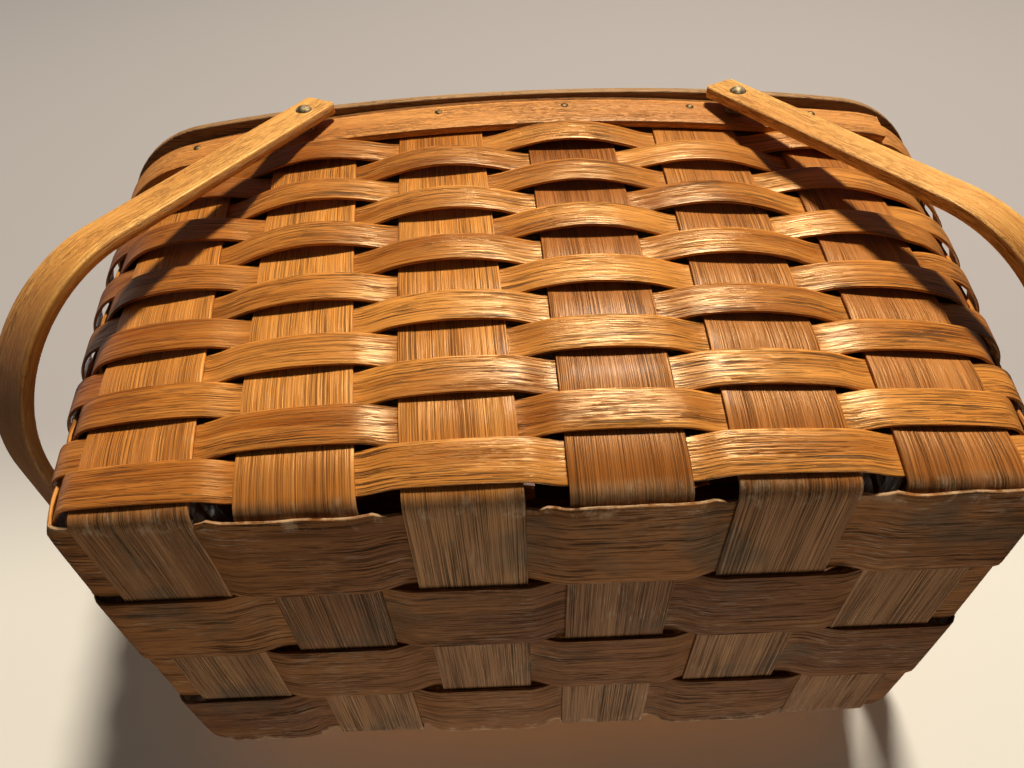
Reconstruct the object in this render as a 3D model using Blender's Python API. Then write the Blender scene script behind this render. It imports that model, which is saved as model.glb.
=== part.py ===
"""Woven oak splint picnic basket with two swing handles and a lift-off board lid."""
import math
from functools import lru_cache

import bmesh
import bpy
from mathutils import Matrix, Vector

for old in list(bpy.data.objects):
    bpy.data.objects.remove(old, do_unlink=True)

# Splints: cross stakes run over the bottom and up both long sides, long stakes up both ends
CROSS_COUNT = 6
LONG_COUNT = 4
ROW_COUNT = 12
CROSS_WIDTH = 0.0508
LONG_WIDTH = 0.0552
STAKE_THICK = 0.0016
WEAVER_WIDTH = 0.0190
WEAVER_THICK = 0.0016
CROSS_PITCH = 0.0690
LONG_PITCH = 0.0562
ROW_PITCH = 0.0200
WEAVE_GAP = 0.0005
EDGE_MARGIN = 0.0010
WEAVER_ARCH = 0.0027
WEAVER_DIP = 0.0006
WEAVER_CREST = 0.4
CORNER_ENTRY = 0.35

# Shape of the wall: flare, spread and lean per metre of height, bow, corner radius in plan
SIDE_SPACE = 0.0020
END_SPACE = 0.0125
SIDE_FLARE = 0.113
END_FLARE = 0.221
CROSS_SPREAD = 0.035
CROSS_LEAN = -0.045
LONG_SPREAD = 0.020
SIDE_BOW = 0.0197
SIDE_BOW_SPAN = 0.2210
END_BOW = 0.0066
END_BOW_SPAN = 0.1100
BOW_START = 0.20
BOW_RISE = 0.040
CORNER_RADIUS = 0.0129
CORNER_GROWTH = 0.229
FOLD_TOP = 0.0080
FOLD_REACH = 0.0068

# Rim: two bent hoops with the tops of the stakes between them
HOOP_THICK = 0.0044
RIM_HEIGHT = 0.0254
RIM_GAP = 0.0006
HOOP_GAP = 0.0005
STAKE_SHORT = 0.0040
INNER_PROUD = 0.0165
LAP_STEP = 0.0034
LAP_END = 0.30
LAP_DROP = 0.01
NAIL_DROP = 0.0070

# Lid board with two battens
LID_THICK = 0.0062
LID_GAP = 0.0003
LID_OVERHANG = 0.0034
LID_SQUARE = 0.0100
BATTEN_X = 0.1070
BATTEN_WIDTH = 0.0250
BATTEN_THICK = 0.0060
BATTEN_INSET = 0.0120
BATTEN_EDGE = 0.0015

# Handles: flat bails bent from one strip, pivoting on rivets through the rim
HANDLE_WIDTH = 0.0220
HANDLE_THICK = 0.0064
HANDLE_REACH = 0.2350
HANDLE_BEND = 0.0860
HANDLE_TAIL = 0.0175
HANDLE_CLIP = 0.0022
HANDLE_REST = 0.0048
BEND_STEPS = 9
PIVOT_X = 0.1335
PIVOT_DROP = 0.0105
WASHER_THICK = 0.0050
WASHER_RADIUS = 0.0060
WASHER_SEAT = 0.0013
TURN_GAP = 0.0003

# Metal fasteners
RIVET_SHANK = 0.0025
RIVET_HEAD = 0.0049
RIVET_DOME = 0.0022
RIVET_BURR = 0.0042
RIVET_TAIL = 0.0012
RIVET_SEAT = 0.0010
NAIL_SHANK = 0.0009
NAIL_HEAD = 0.0024
NAIL_DOME = 0.0008
HOLE_GAP = 0.0003
HEAD_GAP = 0.0003
RIVET_SIDES = 16
NAIL_SIDES = 8

# Heights and offsets that follow from the sizes above
CROSSING = (STAKE_THICK + WEAVER_THICK) / 2 + WEAVE_GAP
BOTTOM_CROSSING = STAKE_THICK + WEAVE_GAP
BOTTOM_Z = BOTTOM_CROSSING + STAKE_THICK / 2
FOOT_HALF_WIDTH = (LONG_COUNT - 1) / 2 * LONG_PITCH + LONG_WIDTH / 2 + SIDE_SPACE
FOOT_HALF_LENGTH = (CROSS_COUNT - 1) / 2 * CROSS_PITCH + CROSS_WIDTH / 2 + END_SPACE
WALL_TOP = FOLD_TOP + ROW_COUNT * ROW_PITCH
RIM_LOW = WALL_TOP + RIM_GAP
RIM_TOP = RIM_LOW + RIM_HEIGHT
STAKE_TOP = RIM_TOP - STAKE_SHORT
LEVELS = [FOLD_TOP + ROW_PITCH * k for k in range(ROW_COUNT + 1)] + [STAKE_TOP]
HOOP_INSIDE = STAKE_THICK / 2 + HOOP_GAP
HOOP_OUTSIDE = HOOP_INSIDE + HOOP_THICK
LID_LOW = RIM_TOP + INNER_PROUD + LID_GAP
LID_TOP = LID_LOW + LID_THICK
PIVOT_Z = RIM_TOP - PIVOT_DROP


# Materials: a plain Principled surface for each kind of piece
def make_material(name, color, roughness, metallic=0.0):
    mat = bpy.data.materials.new(name)
    mat.use_nodes = True
    shader = mat.node_tree.nodes["Principled BSDF"]
    shader.inputs["Base Color"].default_value = (*color, 1.0)
    shader.inputs["Roughness"].default_value = roughness
    shader.inputs["Metallic"].default_value = metallic
    return mat


COLORS = {
    "stake": ((0.46, 0.24, 0.09), 0.45, 0.0),
    "base": ((0.30, 0.17, 0.08), 0.60, 0.0),
    "weaver": ((0.42, 0.17, 0.04), 0.35, 0.0),
    "rim": ((0.45, 0.20, 0.07), 0.40, 0.0),
    "handle": ((0.58, 0.31, 0.11), 0.40, 0.0),
    "lid": ((0.40, 0.22, 0.10), 0.50, 0.0),
    "steel": ((0.38, 0.37, 0.35), 0.35, 1.0),
    "brass": ((0.50, 0.38, 0.18), 0.40, 1.0),
}


def add_object(name, bm, kind, smooth=False, matrix=None):
    """Turn a bmesh into a named object with its own material."""
    bmesh.ops.recalc_face_normals(bm, faces=bm.faces[:])
    mesh = bpy.data.meshes.new(name)
    bm.to_mesh(mesh)
    bm.free()
    obj = bpy.data.objects.new(name, mesh)
    bpy.context.scene.collection.objects.link(obj)
    color, roughness, metallic = COLORS[kind]
    mesh.materials.append(make_material(name + "_surface", color, roughness, metallic))
    if smooth:
        mesh.shade_smooth()
        mesh.set_sharp_from_angle(angle=math.radians(35))
    if matrix is not None:
        obj.matrix_world = matrix
    return obj


def add_loft(bm, sections, closed=False):
    """Skin a list of equal loops of points; an open one is capped at both ends."""
    rings = [[bm.verts.new(point) for point in section] for section in sections]
    count = len(rings[0])
    pairs = list(zip(rings, rings[1:] + rings[:1]))
    if not closed:
        pairs = pairs[:-1]
    for ring, after in pairs:
        for i in range(count):
            j = (i + 1) % count
            bm.faces.new((ring[i], ring[j], after[j], after[i]))
    if not closed:
        for ring in (rings[0], rings[-1]):
            half = count // 2
            for i in range(half - 1):
                bm.faces.new((ring[i], ring[i + 1], ring[count - 2 - i], ring[count - 1 - i]))
    return rings


def add_strip(bm, grid, thick):
    """Thicken a grid of middle-surface points (along the strip, then across it)."""
    sections = []
    last = len(grid) - 1
    for i, row in enumerate(grid):
        outer = []
        inner = []
        side = len(row) - 1
        for j, point in enumerate(row):
            along = grid[min(i + 1, last)][j] - grid[max(i - 1, 0)][j]
            across = row[min(j + 1, side)] - row[max(j - 1, 0)]
            normal = along.cross(across).normalized() * (thick / 2)
            outer.append(point + normal)
            inner.append(point - normal)
        sections.append(outer + inner[::-1])
    add_loft(bm, sections)


def add_turned(name, profile, segments, matrix, kind):
    """An object turned round Z from a profile of (radius, height) pairs."""
    bm = bmesh.new()
    verts = [bm.verts.new((radius, 0.0, height)) for radius, height in profile]
    edges = [bm.edges.new(pair) for pair in zip(verts, verts[1:])]
    bmesh.ops.spin(
        bm, geom=verts + edges, cent=(0, 0, 0), axis=(0, 0, 1), angle=math.tau,
        steps=segments, use_merge=True, use_duplicate=False)
    bmesh.ops.remove_doubles(bm, verts=bm.verts[:], dist=1e-6)
    return add_object(name, bm, kind, smooth=True, matrix=matrix)


def add_cutter(name, rods):
    """A hidden mesh of round rods, each given by its start, end and radius."""
    bm = bmesh.new()
    for start, end, radius, segments in rods:
        axis = end - start
        turn = axis.to_track_quat("Z", "Y").to_matrix().to_4x4()
        place = Matrix.Translation((start + end) / 2) @ turn
        bmesh.ops.create_cone(
            bm, cap_ends=True, segments=segments, radius1=radius, radius2=radius,
            depth=axis.length, matrix=place)
    mesh = bpy.data.meshes.new(name)
    bm.to_mesh(mesh)
    bm.free()
    cutter = bpy.data.objects.new(name, mesh)
    bpy.context.scene.collection.objects.link(cutter)
    cutter.hide_render = True
    cutter.display_type = "WIRE"
    return cutter


def cut(obj, cutter):
    """Subtract a cutter from an object."""
    mod = obj.modifiers.new("holes_" + cutter.name, "BOOLEAN")
    mod.operation = "DIFFERENCE"
    mod.solver = "EXACT"
    mod.object = cutter


# Plan of the wall: bowed sides and ends joined by corner arcs, wider towards the rim
@lru_cache(maxsize=None)
def plan(z):
    share = 1.0 - (1.0 - BOW_START) * math.exp(-z / BOW_RISE)
    side_radius = SIDE_BOW_SPAN ** 2 / (2 * SIDE_BOW * share)
    end_radius = END_BOW_SPAN ** 2 / (2 * END_BOW * share)
    corner = CORNER_RADIUS + CORNER_GROWTH * z
    half_width = FOOT_HALF_WIDTH + SIDE_FLARE * z + SIDE_BOW * share
    half_length = FOOT_HALF_LENGTH + END_FLARE * z + END_BOW * share
    side_centre = Vector((0.0, half_width - side_radius))
    end_centre = Vector((half_length - end_radius, 0.0))
    to_side = side_radius - corner
    to_end = end_radius - corner
    axis = end_centre - side_centre
    span = axis.length
    axis /= span
    along = (to_side ** 2 - to_end ** 2 + span ** 2) / (2 * span)
    aside = math.sqrt(to_side ** 2 - along ** 2)
    corner_centre = side_centre + axis * along + Vector((axis.y, -axis.x)) * aside
    side_turn = math.atan2(corner_centre.x, corner_centre.y - side_centre.y)
    end_turn = math.atan2(corner_centre.y, corner_centre.x - end_centre.x)
    side_length = side_radius * side_turn
    corner_length = corner * (math.pi / 2 - side_turn - end_turn)
    quarter = side_length + corner_length + end_radius * end_turn
    return {
        "side": (side_centre, side_radius), "end": (end_centre, end_radius),
        "corner": (corner_centre, corner), "side_turn": side_turn,
        "side_length": side_length, "corner_length": corner_length, "quarter": quarter,
        "half_width": half_width, "half_length": half_length,
    }


def wall_point(z, arc, out=0.0):
    """Point of the wall's middle surface, arc metres anticlockwise from the front middle."""
    shape = plan(z)
    quarter = shape["quarter"]
    part, run = divmod(arc % (4 * quarter), quarter)
    part = int(part)
    if part in (1, 3):
        run = quarter - run
    if run < shape["side_length"]:
        centre, radius = shape["side"]
        turn = run / radius
    elif run < shape["side_length"] + shape["corner_length"]:
        centre, radius = shape["corner"]
        turn = shape["side_turn"] + (run - shape["side_length"]) / radius
    else:
        centre, radius = shape["end"]
        turn = math.pi / 2 - (quarter - run) / radius
    x = centre.x + (radius + out) * math.sin(turn)
    y = centre.y + (radius + out) * math.cos(turn)
    return Vector((x if part in (0, 1) else -x, -y if part in (0, 3) else y, z))


def between(z, low, high, arc_at, out):
    """Point at height z on the straight line between two levels of the wall."""
    share = (z - low) / (high - low)
    below = wall_point(low, arc_at(low), out)
    above = wall_point(high, arc_at(high), out)
    return below.lerp(above, share)


# Upstands: every stake end that stands in the wall, anticlockwise from the front left
def cross_pitch(z):
    return CROSS_PITCH + CROSS_SPREAD * z


def long_pitch(z):
    return LONG_PITCH + LONG_SPREAD * z


UPSTANDS = []
for side, number in enumerate((CROSS_COUNT, LONG_COUNT, CROSS_COUNT, LONG_COUNT)):
    width = LONG_WIDTH if side % 2 else CROSS_WIDTH
    for place in range(number):
        UPSTANDS.append((side, place - (number - 1) / 2, width / 2, place in (0, number - 1)))


def upstand_arc(index, offset):
    """Arc position, as a function of height, of a point on the width of an upstand."""
    side, place, _, _ = UPSTANDS[index % len(UPSTANDS)]
    pitch = long_pitch if side % 2 else cross_pitch
    lean = (CROSS_LEAN, 0.0, -CROSS_LEAN, 0.0)[side]
    return lambda z: side * plan(z)["quarter"] + place * pitch(z) + lean * z + offset


def corner_arc(index, share):
    """Arc position part of the way over the open corner after an upstand."""
    start = upstand_arc(index, UPSTANDS[index][2])
    following = (index + 1) % len(UPSTANDS)
    end = upstand_arc(following, -UPSTANDS[following][2])

    def arc_at(z):
        near = start(z)
        far = end(z)
        if following == 0:
            far += 4 * plan(z)["quarter"]
        return near + (far - near) * share

    return arc_at


def is_last_of_side(index):
    return UPSTANDS[index][0] != UPSTANDS[(index + 1) % len(UPSTANDS)][0]


def columns(half, at_corner):
    """Offsets across a stake: more of them where it lies on a rounded corner."""
    if at_corner:
        return (-half, -half / 3, half / 3, half)
    return (-half, 0.0, half)


# Stakes
def fold(top, above, floor_z, inward):
    """Points of the rounded fold from the foot of the wall to the flat of the bottom."""
    slope = (top - above) / (above.z - top.z)
    knee = top + slope * (top.z - floor_z)
    knee.z = floor_z
    floor = knee + inward * FOLD_REACH
    points = []
    for step in (0.25, 0.5, 0.75, 1.0):
        points.append(top.lerp(knee, step).lerp(knee.lerp(floor, step), step))
    return points


def wall_run(arc_at):
    """Points down the wall, from the top of a stake to its fold."""
    return [wall_point(z, arc_at(z)) for z in reversed(LEVELS)]


def add_stake(name, first, second, offsets, floor, floor_z, inward):
    """One splint: down one wall, over the bottom through the floor points, up the other."""
    lines = []
    for offset in offsets:
        down = wall_run(upstand_arc(first, offset))
        rise = wall_run(upstand_arc(second, -offset))
        near = fold(down[-1], down[-2], floor_z[0], inward)
        far = fold(rise[-1], rise[-2], floor_z[1], -inward)
        lines.append(down + near + floor(offset) + far[::-1] + rise[::-1])
    bm = bmesh.new()
    add_strip(bm, [list(row) for row in zip(*lines)], STAKE_THICK)
    return add_object(name, bm, "stake")


cross_stakes = []
for number in range(CROSS_COUNT):
    back = CROSS_COUNT + LONG_COUNT + CROSS_COUNT - 1 - number
    edge = number in (0, CROSS_COUNT - 1)
    cross_stakes.append(add_stake(
        f"cross_stake_{number + 1}", number, back, columns(CROSS_WIDTH / 2, edge),
        lambda offset: [], (BOTTOM_Z, BOTTOM_Z), Vector((0, 1, 0))))


def long_height(row, column):
    """A long stake lies above or below each cross stake in turn."""
    return BOTTOM_Z + (BOTTOM_CROSSING if (row + column) % 2 == 0 else -BOTTOM_CROSSING)


def add_long_stake(row):
    right = CROSS_COUNT + row
    left = len(UPSTANDS) - 1 - row
    edge = row in (0, LONG_COUNT - 1)
    y = (row - (LONG_COUNT - 1) / 2) * LONG_PITCH
    reach = CROSS_WIDTH / 2 + EDGE_MARGIN

    def floor(offset):
        points = []
        for column in reversed(range(CROSS_COUNT)):
            x = (column - (CROSS_COUNT - 1) / 2) * CROSS_PITCH
            z = long_height(row, column)
            points.append(Vector((x + reach, y + offset, z)))
            points.append(Vector((x - reach, y + offset, z)))
        return points

    ends = (long_height(row, CROSS_COUNT - 1), long_height(row, 0))
    return add_stake(
        f"long_stake_{row + 1}", right, left, columns(LONG_WIDTH / 2, edge),
        floor, ends, Vector((-1, 0, 0)))


for row in range(LONG_COUNT):
    add_long_stake(row)


# Weavers: each row is its own hoop, outside and inside the upstands in turn
def weaver_path(row):
    path = []
    for index, (_, _, half, at_corner) in enumerate(UPSTANDS):
        edge = half + EDGE_MARGIN
        outside = (index + row) % 2 == 0
        level = CROSSING if outside else -CROSSING
        if outside:
            crest = WEAVER_CREST * half
            inner = [(-crest, level + WEAVER_ARCH), (crest, level + WEAVER_ARCH)]
        elif at_corner:
            inner = [(-half / 3, level - WEAVER_DIP), (half / 3, level - WEAVER_DIP)]
        else:
            inner = [(0.0, level - WEAVER_DIP)]
        for offset, out in [(-edge, level)] + inner + [(edge, level)]:
            path.append((upstand_arc(index, offset), out))
        if is_last_of_side(index):
            for share in (CORNER_ENTRY, 1 - CORNER_ENTRY):
                path.append((corner_arc(index, share), level * (1 - 2 * share)))
    return path


def hoop_section(arc_at, low, high, z_low, z_high, inside, outside):
    """Four corners of a hoop's cross-section at one place of the wall."""
    return [
        between(z_low, low, high, arc_at, inside), between(z_high, low, high, arc_at, inside),
        between(z_high, low, high, arc_at, outside), between(z_low, low, high, arc_at, outside),
    ]


def add_weaver(row):
    low = LEVELS[row]
    high = LEVELS[row + 1]
    edge = (ROW_PITCH - WEAVER_WIDTH) / 2
    half = WEAVER_THICK / 2
    sections = []
    for arc_at, out in weaver_path(row):
        sections.append(hoop_section(
            arc_at, low, high, low + edge, high - edge, out - half, out + half))
    bm = bmesh.new()
    add_loft(bm, sections, closed=True)
    return add_object(f"weaver_{row + 1:02d}", bm, "weaver")


for row in range(ROW_COUNT):
    add_weaver(row)


# Rim hoops follow the stakes, so they meet them at the same points
def rim_stations():
    stations = []
    for index, (_, _, half, at_corner) in enumerate(UPSTANDS):
        for offset in columns(half, at_corner):
            stations.append((upstand_arc(index, offset), index, offset))
        if is_last_of_side(index):
            for share in (LAP_END, LAP_END + LAP_DROP, 1 - CORNER_ENTRY):
                stations.append((corner_arc(index, share), index, share))
    return stations


def lap_rise():
    """The outer hoop's upper end lies over its lower end at the front right corner."""
    last = CROSS_COUNT - 1
    start = upstand_arc(last, -UPSTANDS[last][2])(RIM_TOP)
    end = corner_arc(last, LAP_END)(RIM_TOP)
    rises = []
    for arc_at, index, _ in rim_stations():
        share = (arc_at(RIM_TOP) - start) / (end - start)
        inside = index == last and -1e-6 <= share <= 1 + 1e-6
        rises.append(LAP_STEP * share if inside else 0.0)
    return rises


def add_hoop(name, z_low, z_high, inside, outside, rises):
    sections = []
    for (arc_at, _, _), rise in zip(rim_stations(), rises):
        sections.append(hoop_section(
            arc_at, LEVELS[-2], LEVELS[-1], z_low, z_high, inside, outside + rise))
    bm = bmesh.new()
    add_loft(bm, sections, closed=True)
    return add_object(name, bm, "rim")


flat = [0.0] * len(rim_stations())
outer_hoop = add_hoop(
    "rim_outer_hoop", RIM_LOW, RIM_TOP, HOOP_INSIDE, HOOP_OUTSIDE, lap_rise())
inner_hoop = add_hoop(
    "rim_inner_hoop", RIM_LOW, RIM_TOP + INNER_PROUD, -HOOP_OUTSIDE, -HOOP_INSIDE, flat)


# Nails hold the outer hoop, one at the middle of each upstand that no rivet goes through
def nail_profile(length):
    return [
        (0.0, NAIL_DOME), (NAIL_HEAD * 0.7, NAIL_DOME * 0.7), (NAIL_HEAD, 0.0),
        (NAIL_SHANK, 0.0), (NAIL_SHANK, -length), (0.0, -length),
    ]


def aligned(point, normal):
    turn = normal.to_track_quat("Z", "Y").to_matrix().to_4x4()
    return Matrix.Translation(point) @ turn


def rim_nail(index):
    """Place on the outer hoop's face, and the direction that faces out."""
    arc_at = upstand_arc(index, 0.0)
    z = RIM_TOP - NAIL_DROP
    step = 0.001
    face = [between(z + rise, LEVELS[-2], LEVELS[-1], arc_at, HOOP_OUTSIDE) for rise in (0, step)]
    core = between(z, LEVELS[-2], LEVELS[-1], arc_at, HOOP_INSIDE)
    up = (face[1] - face[0]).normalized()
    out = (face[0] - core).normalized()
    normal = (out - up * out.dot(up)).normalized()
    lap = lap_at(arc_at(RIM_TOP), index)
    return face[0] + out * lap, normal, HOOP_THICK + lap


def at_pivot(point):
    """Whether a nail there would meet a handle's rivet or washer."""
    room = WASHER_RADIUS + NAIL_HEAD
    on_side = abs(point.y) > plan(point.z)["half_width"] / 2
    return on_side and math.hypot(abs(point.x) - PIVOT_X, point.z - PIVOT_Z) < room


def lap_at(arc, index):
    """Extra thickness of the lapped outer hoop at an upstand."""
    last = CROSS_COUNT - 1
    if index != last:
        return 0.0
    start = upstand_arc(last, -UPSTANDS[last][2])(RIM_TOP)
    end = corner_arc(last, LAP_END)(RIM_TOP)
    return LAP_STEP * (arc - start) / (end - start)


nail_rods = []
for index in range(len(UPSTANDS)):
    point, normal, depth = rim_nail(index)
    if at_pivot(point):
        continue
    add_turned(
        f"rim_nail_{len(nail_rods) + 1:02d}", nail_profile(depth + HEAD_GAP), NAIL_SIDES,
        aligned(point + normal * HEAD_GAP, normal), "brass")
    nail_rods.append((
        point + normal * 0.01, point - normal * (depth + HOOP_GAP / 2),
        NAIL_SHANK + HOLE_GAP, NAIL_SIDES))
cut(outer_hoop, add_cutter("nail_hole_cutter", nail_rods))

# Rivet holes run straight through the front and the back of the rim
reach = 2 * plan(RIM_TOP)["half_width"]
pivot_rods = []
for side in (-1, 1):
    middle = Vector((side * PIVOT_X, 0, PIVOT_Z))
    along = Vector((0, reach, 0))
    pivot_rods.append((middle - along, middle + along, RIVET_SHANK + HOLE_GAP, RIVET_SIDES))
pivot_cutter = add_cutter("pivot_hole_cutter", pivot_rods)
cut(outer_hoop, pivot_cutter)
cut(inner_hoop, pivot_cutter)
for number, stake in enumerate(cross_stakes):
    x = upstand_arc(number, 0.0)(PIVOT_Z)
    if abs(abs(x) - PIVOT_X) < CROSS_WIDTH / 2 + RIVET_SHANK + HOLE_GAP:
        cut(stake, pivot_cutter)


# Lid: a thin board resting on the inner hoop, squarer than the rim, so it stands out at the corners
def lid_outline(z):
    rim = plan(RIM_TOP)
    points = []
    for arc_at, _, _ in rim_stations():
        arc = arc_at(RIM_TOP)
        inner = wall_point(RIM_TOP, arc, 0.0)
        corner = (inner.x / rim["half_length"]) ** 2 * (inner.y / rim["half_width"]) ** 2
        point = wall_point(RIM_TOP, arc, LID_OVERHANG + LID_SQUARE * corner)
        points.append(Vector((point.x, point.y, z)))
    return points


lid = bmesh.new()
low = [lid.verts.new(point) for point in lid_outline(LID_LOW)]
board = lid.faces.new(low)
raised = bmesh.ops.extrude_face_region(lid, geom=[board])
for item in raised["geom"]:
    if isinstance(item, bmesh.types.BMVert):
        item.co.z += LID_THICK
add_object("lid_board", lid, "lid")


def side_depth(x, out):
    """Distance from the middle to the front wall at a given x, at the rim."""
    centre, radius = plan(RIM_TOP)["side"]
    return centre.y + math.sqrt((radius + out) ** 2 - x ** 2)


batten_length = 2 * (side_depth(BATTEN_X + BATTEN_WIDTH / 2, LID_OVERHANG) - BATTEN_INSET)
batten_low = LID_TOP + LID_GAP
for side, name in ((-1, "lid_batten_left"), (1, "lid_batten_right")):
    bm = bmesh.new()
    bmesh.ops.create_cube(bm, size=1.0)
    size = Matrix.Diagonal((BATTEN_WIDTH, batten_length, BATTEN_THICK, 1.0))
    bmesh.ops.transform(bm, matrix=size, verts=bm.verts[:])
    rims = [edge for edge in bm.edges if all(vert.co.z > 0 for vert in edge.verts)]
    bmesh.ops.bevel(
        bm, geom=rims, offset=BATTEN_EDGE, offset_type="OFFSET", segments=1, profile=0.5,
        affect="EDGES", material=-1)
    place = Matrix.Translation((side * BATTEN_X, 0, batten_low + BATTEN_THICK / 2))
    add_object(name, bm, "lid", matrix=place)

# Handles: the arms stand off the rim on washers, clear of its bowed middle
pivot_wall = between(
    PIVOT_Z, LEVELS[-2], LEVELS[-1], lambda z: PIVOT_X, HOOP_OUTSIDE)
rim_face = -pivot_wall.y
washer_inner = rim_face + WASHER_SEAT
arm_inner = washer_inner + WASHER_THICK + TURN_GAP
arm_middle = arm_inner + HANDLE_THICK / 2
arm_outer = arm_inner + HANDLE_THICK


def bail_sections():
    """Cross-sections along the strip, in the handle's own frame with the pivot at the origin."""
    stations = [
        (Vector((-HANDLE_TAIL, -arm_middle)), Vector((0, -1)), HANDLE_WIDTH / 2 - HANDLE_CLIP),
        (Vector((HANDLE_CLIP - HANDLE_TAIL, -arm_middle)), Vector((0, -1)), HANDLE_WIDTH / 2),
    ]
    centre = Vector((HANDLE_REACH - HANDLE_BEND, HANDLE_BEND - arm_middle))
    for step in range(BEND_STEPS + 1):
        turn = math.pi / 2 * step / BEND_STEPS
        out = Vector((math.sin(turn), -math.cos(turn)))
        stations.append((centre + out * HANDLE_BEND, out, HANDLE_WIDTH / 2))
    mirrored = [
        (Vector((point.x, -point.y)), Vector((out.x, -out.y)), half)
        for point, out, half in reversed(stations)
    ]
    sections = []
    for point, out, half in stations + mirrored:
        inner = point - out * HANDLE_THICK / 2
        outer = point + out * HANDLE_THICK / 2
        sections.append([
            Vector((inner.x, inner.y, -half)), Vector((inner.x, inner.y, half)),
            Vector((outer.x, outer.y, half)), Vector((outer.x, outer.y, -half)),
        ])
    return sections


def end_room(turn):
    """Least room between the crosspiece and the end wall, the handle turned down so far."""
    rooms = []
    for across in (-HANDLE_WIDTH / 2, HANDLE_WIDTH / 2):
        inner = HANDLE_REACH - HANDLE_THICK / 2
        x = PIVOT_X + inner * math.cos(turn) + across * math.sin(turn)
        z = PIVOT_Z - inner * math.sin(turn) + across * math.cos(turn)
        weave = CROSSING + WEAVER_ARCH + WEAVER_THICK / 2
        rooms.append(x - plan(max(z, 0.0))["half_length"] - weave)
    return min(rooms)


def hang_angle():
    """The angle below level at which a handle comes to rest near the end wall."""
    low = 0.0
    high = math.pi / 2
    while high - low > 1e-7:
        middle = (low + high) / 2
        if end_room(middle) > HANDLE_REST:
            low = middle
        else:
            high = middle
    return low


hang = hang_angle()
for name, side, angle in (("handle_left", -1, math.pi - hang), ("handle_right", 1, hang)):
    bm = bmesh.new()
    add_loft(bm, bail_sections())
    place = Matrix.Translation((side * PIVOT_X, 0, PIVOT_Z))
    turn = Matrix.Rotation(angle, 4, "Y")
    handle = add_object(name, bm, "handle", smooth=True, matrix=place @ turn)
    cut(handle, pivot_cutter)

# Rivets and washers on the four pivots
inner_wall = between(PIVOT_Z, LEVELS[-2], LEVELS[-1], lambda z: PIVOT_X, -HOOP_OUTSIDE)
head_seat = arm_outer + HEAD_GAP
burr_seat = -inner_wall.y - RIVET_SEAT
rivet_profile = [
    (0.0, head_seat + RIVET_DOME), (RIVET_HEAD * 0.55, head_seat + RIVET_DOME * 0.86),
    (RIVET_HEAD * 0.87, head_seat + RIVET_DOME * 0.5), (RIVET_HEAD, head_seat),
    (RIVET_SHANK, head_seat), (RIVET_SHANK, burr_seat), (RIVET_BURR, burr_seat),
    (RIVET_BURR, burr_seat - RIVET_TAIL), (0.0, burr_seat - RIVET_TAIL),
]
washer_profile = [
    (RIVET_SHANK + HOLE_GAP, washer_inner), (WASHER_RADIUS, washer_inner),
    (WASHER_RADIUS, washer_inner + WASHER_THICK),
    (RIVET_SHANK + HOLE_GAP, washer_inner + WASHER_THICK),
    (RIVET_SHANK + HOLE_GAP, washer_inner),
]
for side, hand in ((-1, "left"), (1, "right")):
    for facing, face in ((-1, "front"), (1, "back")):
        place = Matrix.Translation((side * PIVOT_X, 0, PIVOT_Z))
        tilt = Matrix.Rotation(math.radians(-90 * facing), 4, "X")
        add_turned(f"rivet_{face}_{hand}", rivet_profile, RIVET_SIDES, place @ tilt, "steel")
        add_turned(f"washer_{face}_{hand}", washer_profile, RIVET_SIDES, place @ tilt, "steel")
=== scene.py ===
# %% [markdown]
# # A woven oak picnic basket
#
# The basket is made of thin, flat strips of oak, called splints. Wide splints, the stakes, cross
# under the bottom and stand up as the wall. Narrow splints, the weavers, go round the wall in
# front of one stake and behind the next. Two bent hoops hold the stakes' tops, two flat handles
# swing on rivets, and a thin board is the lid.
#
# The packed model gives the frame: its bodies, its joints and its plain solids. This script makes
# a finer piece for each solid, in the same place, and gives each one its wood or metal.

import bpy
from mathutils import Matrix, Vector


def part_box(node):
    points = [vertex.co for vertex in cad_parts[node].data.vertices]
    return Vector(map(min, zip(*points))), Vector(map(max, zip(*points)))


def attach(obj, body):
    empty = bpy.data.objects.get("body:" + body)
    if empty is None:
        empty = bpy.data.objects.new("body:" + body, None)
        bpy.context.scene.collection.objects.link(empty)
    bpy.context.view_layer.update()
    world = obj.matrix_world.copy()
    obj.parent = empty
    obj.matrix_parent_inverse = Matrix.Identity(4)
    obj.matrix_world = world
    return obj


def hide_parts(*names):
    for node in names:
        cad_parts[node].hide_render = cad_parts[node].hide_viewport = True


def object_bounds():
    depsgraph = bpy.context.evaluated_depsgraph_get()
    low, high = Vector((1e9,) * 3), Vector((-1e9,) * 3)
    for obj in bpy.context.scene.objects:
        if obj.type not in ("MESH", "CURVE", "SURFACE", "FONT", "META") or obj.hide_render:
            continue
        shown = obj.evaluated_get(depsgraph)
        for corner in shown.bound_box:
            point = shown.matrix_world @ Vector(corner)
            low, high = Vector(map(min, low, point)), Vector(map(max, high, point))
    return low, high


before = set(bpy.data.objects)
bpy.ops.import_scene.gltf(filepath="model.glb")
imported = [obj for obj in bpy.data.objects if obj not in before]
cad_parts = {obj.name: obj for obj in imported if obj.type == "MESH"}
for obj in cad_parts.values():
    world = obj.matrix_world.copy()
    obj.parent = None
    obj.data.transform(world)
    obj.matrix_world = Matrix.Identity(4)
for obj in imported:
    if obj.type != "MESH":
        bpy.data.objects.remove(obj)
cad_low, cad_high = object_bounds()
print("size of the solids:", [round(b - a, 4) for a, b in zip(cad_low, cad_high)])

# %% [markdown]
# ## The maker's sizes
#
# All sizes are in metres. They are the same driving sizes as in the solids' own source: the
# widths of the splints, how far apart they stand, and how much the wall flares and bows. Every
# point of the weave is worked out from them, so a splint can be made much finer than its solid
# and still lie in the same place.

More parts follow.
